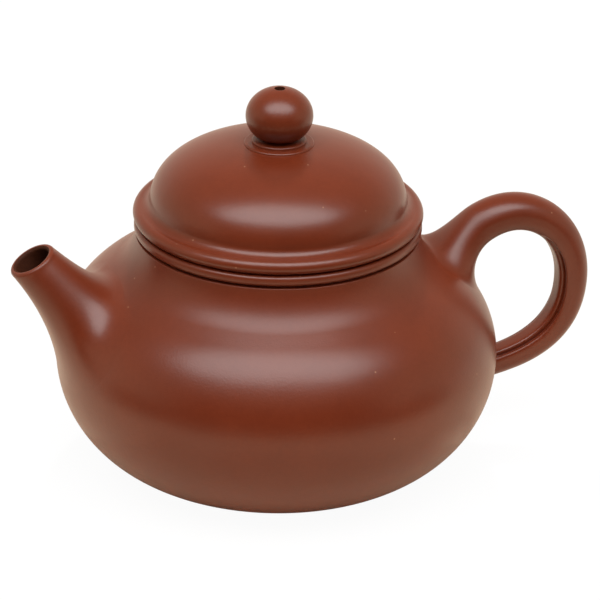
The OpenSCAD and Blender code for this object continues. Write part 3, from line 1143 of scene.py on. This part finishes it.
@dataclass
class Handle:
    """Ear-shaped handle, luted to the shoulder and to the belly.

    The creases lie at crease_at degrees on both sides of the inner face's middle. They fade over crease_in
    degrees towards it and over crease_out degrees away from it, and deepen along the handle from the share
    crease_from to the share crease_full.
    """

    skin: BodySkin
    reach: float = 18.5
    mid_up: float = 9.6
    up_root: float = 16.7
    low_root: float = 9.0
    up_pull: float = 19.8
    top_pull: float = 14.4
    low_pull: float = 12.2
    root_pull: float = 11.6
    low_dip: float = 7.0
    t_up: float = 7.6
    t_low: float = 5.4
    extra_w: float = 1.5
    root_h: float = 11.0
    root_w: float = 22.0
    root_drop: float = 1.4
    foot_h: float = 10.2
    foot_w: float = 10.5
    blend_up: float = 4.2
    blend_low: float = 2.4
    blend_run: float = 4.5
    up_start: float = 0.2
    low_end: float = 0.8
    squareness: float = 0.55
    crease: float = 1.0
    crease_at: float = 44.0
    crease_in: float = 18.0
    crease_out: float = 8.0
    crease_from: float = 0.3
    crease_full: float = 0.42
    seat_sink: float = 0.4
    around: int = 144
    line_n: int = 56
    root_n: int = 20
    seat_n: int = 4

    def lines(self) -> tuple[list[Vector], list[Vector]]:
        """Guide points of the two halves of the handle's centre line.

        Returns:
            The upper half, from the shoulder to the outermost point, and the lower half, on to the belly.
        """
        skin = self.skin
        up_z = skin.belly_h + self.up_root
        out = Vector((skin.body_d / 2 + self.reach, 0.0, skin.belly_h + self.mid_up))
        top = skin.point(0.0, up_z, Side.HANDLE, 0.0)
        low = skin.point(0.0, skin.belly_h - self.low_root, Side.HANDLE, 0.0)
        dip = math.radians(self.low_dip)
        rise = Vector((0.0, 0.0, 1.0))
        leave = skin.normal(0.0, up_z, Side.HANDLE)
        upper = [top, top + self.up_pull * leave, out + self.top_pull * rise, out]
        lower = [
            out,
            out - self.low_pull * rise,
            low + self.root_pull * Vector((math.cos(dip), 0.0, math.sin(dip))),
            low,
        ]
        return upper, lower

    def section(self, place: Vector, run: Vector, share: float) -> Ring:
        """One section, round outside, flatter towards the fingers and creased at both inner corners.

        Args:
            place: Middle of the section.
            run: Direction of the centre line.
            share: Share of the handle's length.

        Returns:
            The section's points.
        """
        thick = self.t_up + (self.t_low - self.t_up) * share
        wide = thick + self.extra_w
        across = Vector((0.0, 1.0, 0.0))
        outward = run.cross(across)
        begun = (share - self.crease_from) / (self.crease_full - self.crease_from)
        depth = self.crease * min(max(begun, 0.0), 1.0)
        ring = []
        for i in range(self.around):
            a = 2 * math.pi * i / self.around
            y, o = math.cos(a), math.sin(a)
            if o < 0:
                off = abs(math.degrees(a) - 270.0) - self.crease_at
                off /= self.crease_out if off > 0 else self.crease_in
                y = math.copysign(abs(y) ** self.squareness, y)
                o = math.copysign(abs(o) ** self.squareness, o)
                inwards = 1.0 - depth / (thick / 2) * math.exp(-off * off)
                y, o = y * inwards, o * inwards
            ring.append(place + wide / 2 * y * across + thick / 2 * o * outward)
        return ring

    def root(self, z: float, width: float, height: float, blend: float) -> Root:
        """Oval of one of the handle's roots on the body, with the same blend all around."""
        return Root(self.skin, Side.HANDLE, z, width, height, blend, blend, blend, self.around)

    def grow(self, root: Root, section: Ring, run: Vector) -> list[Ring]:
        """Rings from the middle of a root's seat, over its edge, up to a section.

        Args:
            root: The oval on the body.
            section: The section that the root grows into.
            run: Direction of the centre line away from the body.

        Returns:
            The rings, without the section itself.
        """
        seat = [root.ring(-self.seat_sink, k / self.seat_n) for k in range(self.seat_n + 1)]
        guides = [root.edge(), root.lead(), [p - self.blend_run * run for p in section], section]
        return seat + blend_rings(guides, self.root_n)[:-1]

    def build(self) -> bpy.types.Object:
        """Sweep the sections along the centre line and grow both roots onto the body.

        Returns:
            The handle.
        """
        upper, lower = self.lines()
        shares = [j / self.line_n for j in range(self.line_n + 1)]
        up = []
        for share in shares:
            t = self.up_start + (1.0 - self.up_start) * share
            up.append(self.section(bezier(upper, t), bezier_run(upper, t), t / 2))
        low = []
        for share in shares[1:]:
            t = self.low_end * share
            low.append(self.section(bezier(lower, t), bezier_run(lower, t), 0.5 + t / 2))
        top_z = self.skin.belly_h + self.up_root - self.root_drop
        low_z = self.skin.belly_h - self.low_root
        top_root = self.root(top_z, self.root_w, self.root_h, self.blend_up)
        # The outer side of the last sections looks down, so the lower oval is taken upside down.
        low_root = self.root(low_z, self.foot_w, -self.foot_h, self.blend_low)
        top_rings = self.grow(top_root, up[0], bezier_run(upper, self.up_start))
        low_rings = self.grow(low_root, low[-1], -bezier_run(lower, self.low_end))
        return Bench.skin("handle_ear", top_rings + up + low + low_rings[::-1], looped=False)

    def dress(self, dresser: Dresser) -> None:
        """Build the handle and finish it."""
        dresser.dress(self.build(), "handle", Body.POT, lambda centre, normal: False)


@dataclass
class Vent:
    """Steam vent along the axis of knob and lid, widening from the knob's top to the inside of the lid."""

    top_z: float
    low_z: float
    top_d: float = 2.0
    low_d: float = 4.2

    def radius(self, z: float) -> float:
        """Radius of the vent at height z."""
        share = (self.top_z - z) / (self.top_z - self.low_z)
        return (self.top_d + (self.low_d - self.top_d) * share) / 2


@dataclass
class Lid:
    """Loose lid: rim, hollow dome and locating flange."""

    seat_z: float
    collar_r: float
    mouth_r: float
    overhang: float = 0.2
    rim_h: float = 3.1
    rim_relief: float = 0.25
    rim_turn: float = 70.0
    gallery_w: float = 3.3
    dome_h: float = 13.5
    fullness: float = 2.35
    sweep_h: float = 1.65
    lid_t: float = 2.6
    flange_depth: float = 7.0
    flange_t: float = 1.8
    flange_clear: float = 0.3
    flange_bevel: float = 0.6
    crown_r: float = 7.0
    dome_n: int = 64

    @property
    def lid_r(self) -> float:
        """Outer radius of the rim."""
        return self.collar_r + self.overhang

    @property
    def rim_z(self) -> float:
        """Height of the rim's top."""
        return self.seat_z + self.rim_h

    @property
    def flange_r(self) -> float:
        """Outer radius of the flange."""
        return self.mouth_r - self.flange_clear

    @property
    def dome_r(self) -> float:
        """Radius of the dome at its foot."""
        return self.lid_r - self.gallery_w

    @property
    def crown_z(self) -> float:
        """Height of the dome's flat crown, on which the knob's seat stands."""
        rest = 1.0 - (self.crown_r / self.dome_r) ** self.fullness
        return self.rim_z + self.dome_h * rest ** (1.0 / self.fullness)

    def dome_point(self, radius: float, height: float, share: float) -> Point:
        """Point of a superellipse quarter above the rim.

        Args:
            radius: Radius of the quarter at its foot.
            height: Height of the quarter.
            share: Share of the quarter, 0 at the foot and 1 at the top.

        Returns:
            The point, as radius and height.
        """
        turn = math.pi / 2 * share
        power = 2.0 / self.fullness
        return (radius * math.cos(turn) ** power, self.rim_z + height * math.sin(turn) ** power)

    def dome_share(self, height: float, reached: float) -> float:
        """Share of a superellipse quarter at which it has reached a height."""
        return math.asin((reached / height) ** (self.fullness / 2)) / (math.pi / 2)

    def build_rim(self) -> bpy.types.Object:
        """Flat ring with a round outer edge.

        Returns:
            The rim.
        """
        bead_r = (self.rim_h - self.rim_relief) / 2
        bead = (self.lid_r - bead_r, self.rim_z - bead_r)
        inner = self.flange_r - self.flange_t
        outline = (
            [(inner, self.seat_z), (bead[0] - bead_r, self.seat_z)]
            + arc(bead, bead_r, -self.rim_turn, 90.0, 6.0)
            + [(inner, self.rim_z)]
        )
        return Bench.turn("lid_ring", outline)

    def build_dome(self, vent: Vent) -> bpy.types.Object:
        """Hollow dome with a hollow sweep at its foot.

        Args:
            vent: The steam vent.

        Returns:
            The dome.
        """
        full = self.fullness
        in_r = self.dome_r - self.lid_t
        in_h = self.dome_h - self.lid_t
        sweep_k = self.dome_share(self.dome_h, self.sweep_h)
        sweep_p = self.dome_point(self.dome_r, self.dome_h, sweep_k)
        slope = Vector(
            (
                (sweep_p[0] / self.dome_r) ** (full - 1) / self.dome_r,
                (self.sweep_h / self.dome_h) ** (full - 1) / self.dome_h,
            )
        ).normalized()
        sweep_r = self.sweep_h / (1.0 - slope.y)
        sweep_c = (sweep_p[0] + sweep_r * slope.x, sweep_p[1] + sweep_r * slope.y)
        sweep_end = 180.0 + math.degrees(math.atan2(slope.y, slope.x))
        crown_k = self.dome_share(self.dome_h, self.crown_z - self.rim_z)
        vent_h = in_h * (1.0 - (vent.low_d / 2 / in_r) ** full) ** (1.0 / full)
        vent_k = self.dome_share(in_h, vent_h)
        shares = [j / self.dome_n for j in range(self.dome_n + 1)]
        outside = [sweep_k + (crown_k - sweep_k) * s for s in shares[1:]]
        outline = (
            arc(sweep_c, sweep_r, 270.0, sweep_end, 4.0)
            + [self.dome_point(self.dome_r, self.dome_h, k) for k in outside]
            + [(vent.radius(self.crown_z), self.crown_z)]
            + [self.dome_point(in_r, in_h, vent_k * s) for s in shares[::-1]]
        )
        return Bench.turn("lid_cap", outline)

    def build_flange(self) -> bpy.types.Object:
        """Locating flange that hangs into the mouth.

        Returns:
            The flange.
        """
        inner = self.flange_r - self.flange_t
        low = self.seat_z - self.flange_depth
        outline = [
            (inner, self.seat_z),
            (inner, low),
            (self.flange_r - self.flange_bevel, low),
            (self.flange_r, low + self.flange_bevel),
            (self.flange_r, self.seat_z),
        ]
        return Bench.turn("lid_skirt", outline)

    def dress(self, dresser: Dresser, vent: Vent) -> None:
        """Build the three pieces and finish them.

        Args:
            dresser: Takes the finished pieces.
            vent: The steam vent.
        """
        dresser.dress(self.build_rim(), "lid_rim", Body.LID, faces_axis)
        dresser.dress(self.build_dome(vent), "lid_dome", Body.LID, faces_in_or_down)
        dresser.dress(self.build_flange(), "lid_flange", Body.LID, faces_in_or_down)


@dataclass
class Knob:
    """Oval knob with its two-step seat and the steam vent."""

    crown_z: float
    seat_r: float
    knob_d: float = 13.5
    knob_h: float = 10.7
    oval_h: float = 11.6
    neck_d: float = 9.6
    seat_h: float = 0.4
    seat_top_d: float = 10.9
    seat_top_h: float = 0.6
    seat_round: float = 0.34
    vent_round: float = 0.12
    oval_n: int = 72
    around: int = 160

    @property
    def foot_z(self) -> float:
        """Height of the knob's foot on its seat."""
        return self.crown_z + self.seat_h + self.seat_top_h

    @property
    def top_z(self) -> float:
        """Height of the top of the knob's oval."""
        return self.foot_z + self.knob_h

    def build_seat(self, vent: Vent) -> bpy.types.Object:
        """Two-step seat with rounded edges.

        Args:
            vent: The steam vent.

        Returns:
            The seat.
        """
        low_z = self.crown_z + self.seat_h
        top_r = self.seat_top_d / 2
        bend = self.seat_round
        outline = (
            [(vent.radius(self.crown_z), self.crown_z), (self.seat_r, self.crown_z)]
            + arc((self.seat_r - bend, low_z - bend), bend, 0.0, 90.0, 10.0)
            + [(top_r, low_z)]
            + arc((top_r - bend, self.foot_z - bend), bend, 0.0, 90.0, 10.0)
            + [(vent.radius(self.foot_z), self.foot_z)]
        )
        return Bench.turn("knob_step", outline, self.around)

    def build_knob(self, vent: Vent) -> bpy.types.Object:
        """Oval ball, open along its axis.

        Args:
            vent: The steam vent.

        Returns:
            The knob.
        """
        vent_r = vent.top_d / 2
        bend = self.vent_round
        wide = self.knob_d / 2
        tall = self.oval_h / 2
        middle = self.top_z - tall
        start = -math.acos(self.neck_d / self.knob_d)
        end = math.acos((vent_r + bend) / wide)
        turns = [start + (end - start) * j / self.oval_n for j in range(self.oval_n + 1)]
        mouth_z = middle + tall * math.sin(end)
        outline = (
            [(vent.radius(self.foot_z), self.foot_z)]
            + [(wide * math.cos(t), middle + tall * math.sin(t)) for t in turns]
            + arc((vent_r + bend, mouth_z - bend), bend, 100.0, 180.0, 16.0)
        )
        return Bench.turn("knob_ball", outline, self.around)

    def dress(self, dresser: Dresser, vent: Vent) -> None:
        """Build both pieces and finish them."""
        dresser.dress(self.build_seat(vent), "knob_seat", Body.LID, faces_axis)
        dresser.dress(self.build_knob(vent), "knob", Body.LID, faces_axis)


@dataclass
class Studio:
    """Camera, soft light, surroundings and floor.

    A field that ends in rise is a range of a direction's height, and one that ends in turn is a range of its
    length away from the camera's side, both from -1 to 1.
    """

    aim: tuple[float, float, float] = (4.5, -1.29, 34.39)
    azimuth: float = -16.0
    elevation: float = 24.9
    distance: float = 700.0
    lens: float = 206.46
    sensor: float = 36.0
    clip: Span = (10.0, 50000.0)
    roll: float = 0.949
    box_elevation: float = 65.0
    box_distance: float = 720.0
    box_w: float = 1240.0
    box_h: float = 520.0
    box_radiance: float = 3.6
    back_elevation: float = 48.0
    back_distance: float = 700.0
    back_w: float = 70.0
    back_radiance: float = 200.0
    glow: float = 1.5
    glow_behind: float = 0.35
    glow_rise: Span = (0.58, 0.8)
    glow_turn: Span = (-0.25, 0.1)
    room_white: float = 0.82
    room_high: float = 0.38
    room_rise: Span = (0.1, 0.75)
    room_turn: Span = (-0.8, -0.35)
    skirt: float = 0.5
    skirt_rise: Span = (0.2, 0.6)
    skirt_turn: Span = (-0.2, 0.2)
    white_rise: Span = (0.5, 0.75)
    warm: Colour = (1.0, 0.78, 0.56, 1.0)
    pale: Colour = (1.0, 0.87, 0.73, 1.0)
    pale_turn: Span = (0.3, 0.8)
    floor_half: float = 6000.0
    floor_white: float = 0.82
    floor_dark: float = 0.08
    floor_near: Span = (110.0, 170.0)
    floor_turn: Span = (-0.4, 0.3)
    floor_lift: float = 0.95
    floor_mirror: float = 0.75
    floor_back: Span = (-60.0, 120.0)

    def towards(self, azimuth: float, elevation: float) -> Vector:
        """Unit direction from the pot; azimuth 0 is in front of it, along -Y."""
        a, e = math.radians(azimuth), math.radians(elevation)
        return Vector((math.sin(a) * math.cos(e), -math.cos(a) * math.cos(e), math.sin(e)))

    def place(
        self, thing: bpy.types.Object, azimuth: float, elevation: float, distance: float, roll: float
    ) -> None:
        """Set a camera or lamp around the pot and point it at the pot.

        Args:
            thing: The camera or lamp.
            azimuth: Angle around the pot from its front.
            elevation: Angle above the floor.
            distance: Distance from the aim.
            roll: Turn about the viewing axis.
        """
        bpy.context.scene.collection.objects.link(thing)
        back = self.towards(azimuth, elevation)
        turn = back.to_track_quat("Z", "Y").to_matrix().to_4x4()
        place = Matrix.Translation((Vector(self.aim) + distance * back) * MM)
        thing.matrix_world = place @ turn @ Matrix.Rotation(math.radians(roll), 4, "Z")

    def set_camera(self) -> None:
        """Camera at the photograph's viewing angle."""
        data = bpy.data.cameras.new("viewpoint")
        data.lens = self.lens
        data.sensor_width = self.sensor
        data.clip_start, data.clip_end = metres(self.clip)
        camera = bpy.data.objects.new("viewpoint", data)
        self.place(camera, self.azimuth, self.elevation, self.distance, self.roll)
        bpy.context.scene.camera = camera

    def lamp(
        self, name: str, azimuth: float, elevation: float, distance: float, size: Point, radiance: float
    ) -> bpy.types.Object:
        """Area lamp that points at the pot.

        Args:
            name: Name of the lamp.
            azimuth: Angle around the pot from its front.
            elevation: Angle above the floor.
            distance: Distance from the aim.
            size: Width and height.
            radiance: Brightness of its face, in which 1 is white.

        Returns:
            The lamp.
        """
        data = bpy.data.lights.new(name, "AREA")
        data.shape = "ELLIPSE"
        data.size = size[0] * MM
        data.size_y = size[1] * MM
        # A lamp's power is pi times its radiance and the area of its ellipse.
        data.energy = radiance * math.pi * data.size * data.size_y * math.pi / 4
        thing = bpy.data.objects.new(name, data)
        self.place(thing, azimuth, elevation, distance, 0.0)
        return thing

    def set_lamps(self) -> None:
        """Softbox above the camera, and a small lamp behind that sets the knob's shadow on the dome."""
        wide = (self.box_w, self.box_h)
        small = (self.back_w, self.back_w)
        behind = self.azimuth + 180.0
        self.lamp("softbox", self.azimuth, self.box_elevation, self.box_distance, wide, self.box_radiance)
        back = self.lamp(
            "backlight", behind, self.back_elevation, self.back_distance, small, self.back_radiance
        )
        back.visible_glossy = False

    def set_surroundings(self) -> None:
        """Wide glow above the camera, pale room beside and behind the pot, dark room in front of it."""
        world = bpy.data.worlds.new("room")
        bpy.context.scene.world = world
        world.use_nodes = True
        wiring = Wiring(world.node_tree)
        way = wiring.node("ShaderNodeTexCoord").outputs["Generated"]
        height = wiring.node("ShaderNodeSeparateXYZ", {"Vector": way}).outputs["Z"]
        depth = wiring.along(way, -self.towards(self.azimuth, 0.0))
        wall = wiring.spread(height, *self.room_rise, self.room_white, self.room_high)
        room = wiring.sums("MULTIPLY", wall, wiring.spread(depth, *self.room_turn, 0.0, 1.0))
        hem = wiring.spread(height, *self.skirt_rise, 0.0, self.skirt)
        skirt = wiring.sums("MULTIPLY", hem, wiring.spread(depth, *self.skirt_turn, 1.0, 0.0))
        front = wiring.spread(depth, *self.glow_turn, 1.0, 0.0)
        glow = wiring.sums("MAXIMUM", wiring.sums("MULTIPLY", front, self.glow), self.glow_behind)
        level = wiring.spread(height, *self.glow_rise, wiring.sums("MAXIMUM", room, skirt), glow)
        seen = wiring.node("ShaderNodeLightPath").outputs["Is Camera Ray"]
        strength = wiring.sums("MAXIMUM", level, seen)
        white = wiring.sums("MAXIMUM", wiring.spread(height, *self.white_rise, 0.0, front), seen)
        tone = wiring.mix(wiring.spread(depth, *self.pale_turn, 0.0, 1.0), self.warm, self.pale)
        colour = wiring.mix(white, tone, WHITE)
        ground = wiring.node("ShaderNodeBackground", {"Color": colour, "Strength": strength})
        wiring.node("ShaderNodeOutputWorld", {"Surface": ground.outputs["Background"]})

    def set_floor(self) -> None:
        """Pale floor that shows white to the camera and keeps the pot's faint shadow."""
        Bench.clear()
        bpy.ops.mesh.primitive_plane_add(size=2 * self.floor_half * MM)
        floor = bpy.context.object
        floor.name = "floor"
        material = bpy.data.materials.new("floor_paper")
        material.use_nodes = True
        wiring = Wiring(material.node_tree)
        path = wiring.node("ShaderNodeLightPath")
        seen = path.outputs["Is Camera Ray"]
        place = wiring.node("ShaderNodeTexCoord").outputs["Object"]
        depth = wiring.along(place, -self.towards(self.azimuth, 0.0))
        reach = wiring.node("ShaderNodeVectorMath", {"Vector": place}, operation="LENGTH").outputs["Value"]
        # Painted shade: to rays other than the camera's, the floor turns dark from floor_near outwards in
        # front of the pot.
        near = wiring.spread(reach, *metres(self.floor_near), self.floor_white, self.floor_dark)
        turn = wiring.sums("DIVIDE", depth, wiring.sums("MAXIMUM", reach, MM))
        shade = wiring.spread(turn, *self.floor_turn, near, self.floor_white)
        tone = wiring.mix(shade, BLACK, self.warm)
        paper = wiring.node("ShaderNodeBsdfDiffuse", {"Color": wiring.mix(seen, tone, WHITE)})
        lift = wiring.mix(seen, self.pale, WHITE)
        glow = wiring.node("ShaderNodeEmission", {"Color": lift, "Strength": 1.0})
        # Painted glow: behind the pot the floor glows pale to glossy rays, though it is no lamp.
        back = wiring.spread(depth, *metres(self.floor_back), 0.0, self.floor_mirror)
        mirrored = wiring.sums("MULTIPLY", path.outputs["Is Glossy Ray"], back)
        share = wiring.sums("MAXIMUM", wiring.sums("MULTIPLY", seen, self.floor_lift), mirrored)
        mixed = wiring.node("ShaderNodeMixShader", {"Fac": share})
        wiring.feed(mixed.inputs[1], paper.outputs["BSDF"])
        wiring.feed(mixed.inputs[2], glow.outputs["Emission"])
        wiring.node("ShaderNodeOutputMaterial", {"Surface": mixed.outputs["Shader"]})
        floor.data.materials.append(material)

    def set_up(self) -> None:
        """Set up the whole studio."""
        bpy.context.scene.view_settings.view_transform = "Standard"
        self.set_camera()
        self.set_lamps()
        self.set_surroundings()
        self.set_floor()


def main() -> None:
    """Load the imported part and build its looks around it, piece by piece."""
    logging.basicConfig(level=logging.INFO, format="%(name)s: %(message)s")
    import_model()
    dresser = Dresser(Finishes.mixed())
    skin = BodySkin()
    pot = Pot(skin)
    spout = Spout(skin, pot.seat_z)
    handle = Handle(skin)
    lid = Lid(pot.seat_z, pot.collar_r, pot.mouth_r)
    knob = Knob(lid.crown_z, lid.crown_r)
    vent = Vent(knob.top_z, lid.rim_z + lid.dome_h - lid.lid_t)
    for part in (pot, spout, handle):
        part.dress(dresser)
    for part in (lid, knob):
        part.dress(dresser, vent)
    Studio().set_up()
    LOG.info("%d pieces made", len(dresser.made))


if __name__ == "__main__":
    main()
